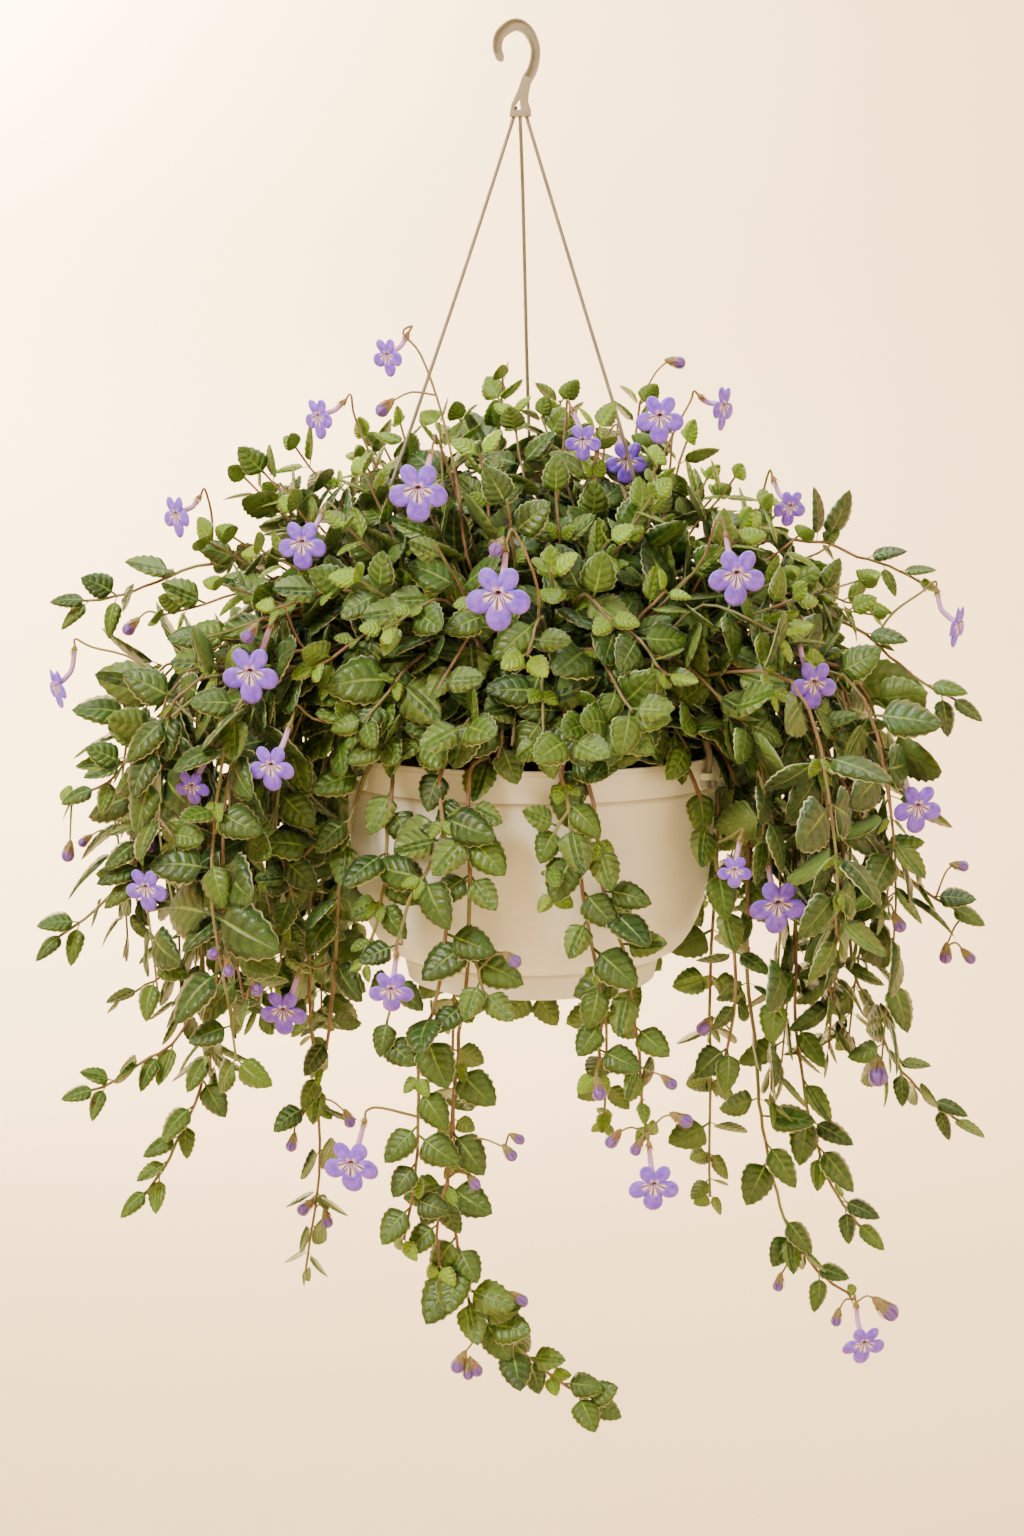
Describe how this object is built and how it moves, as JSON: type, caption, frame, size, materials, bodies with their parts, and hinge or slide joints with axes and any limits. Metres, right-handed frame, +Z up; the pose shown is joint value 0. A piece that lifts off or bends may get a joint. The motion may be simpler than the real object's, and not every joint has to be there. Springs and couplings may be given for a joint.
{
  "type": "hanging basket plant",
  "caption": "Cape primrose with trailing leafy stems and violet blooms, growing in a round hanging basket with strands and a moulded strap hook.",
  "frame": {"origin": "inside top of the hook's crook, where the basket hangs from its support", "axes": "+Z up, +X to the right and -Y to the front as the picture sees it"},
  "size_m": [0.6361, 0.3784, 0.8969],
  "materials": {
    "basket_plastic": "cream, smooth satin",
    "hanger_plastic": "greige, smooth satin",
    "potting_soil": "dark, crumbly, matte",
    "foliage": "soft, finely hairy leaf green",
    "petals": "soft violet"
  },
  "bodies": {
    "root": {"basket": "basket_plastic", "bloom_01": "petals", "bloom_02": "petals", "bloom_03": "petals", "bloom_04": "petals", "bloom_05": "petals", "bloom_06": "petals", "bloom_07": "petals", "bloom_08": "petals", "bloom_09": "petals", "bloom_10": "petals", "bloom_11": "petals", "bloom_12": "petals", "bloom_13": "petals", "bloom_14": "petals", "bloom_15": "petals", "bloom_16": "petals", "bloom_17": "petals", "bloom_18": "petals", "bloom_19": "petals", "bloom_20": "petals", "bloom_21": "petals", "bloom_22": "petals", "bloom_23": "petals", "bloom_24": "petals", "bloom_25": "petals", "bloom_26": "petals", "bloom_27": "petals", "bloom_28": "petals", "bloom_29": "petals", "bloom_30": "petals", "bloom_31": "petals", "crown": "foliage", "hanger_hook": "hanger_plastic", "hanger_strand_back": "hanger_plastic", "hanger_strand_left": "hanger_plastic", "hanger_strand_right": "hanger_plastic", "soil": "potting_soil", "trail_back_left": "foliage", "trail_back_mid_left": "foliage", "trail_back_mid_right": "foliage", "trail_back_right": "foliage", "trail_front_left": "foliage", "trail_front_long": "foliage", "trail_front_mid": "foliage", "trail_front_right": "foliage", "trail_left_back": "foliage", "trail_left_front_long": "foliage", "trail_left_high": "foliage", "trail_left_long": "foliage", "trail_left_middle": "foliage", "trail_left_upper": "foliage", "trail_right_hanging": "foliage", "trail_right_high": "foliage", "trail_right_long": "foliage", "trail_right_low": "foliage", "trail_right_middle": "foliage", "trail_right_outer": "foliage", "trail_rim_left": "foliage", "trail_rim_right": "foliage"}
  },
  "joints": []
}
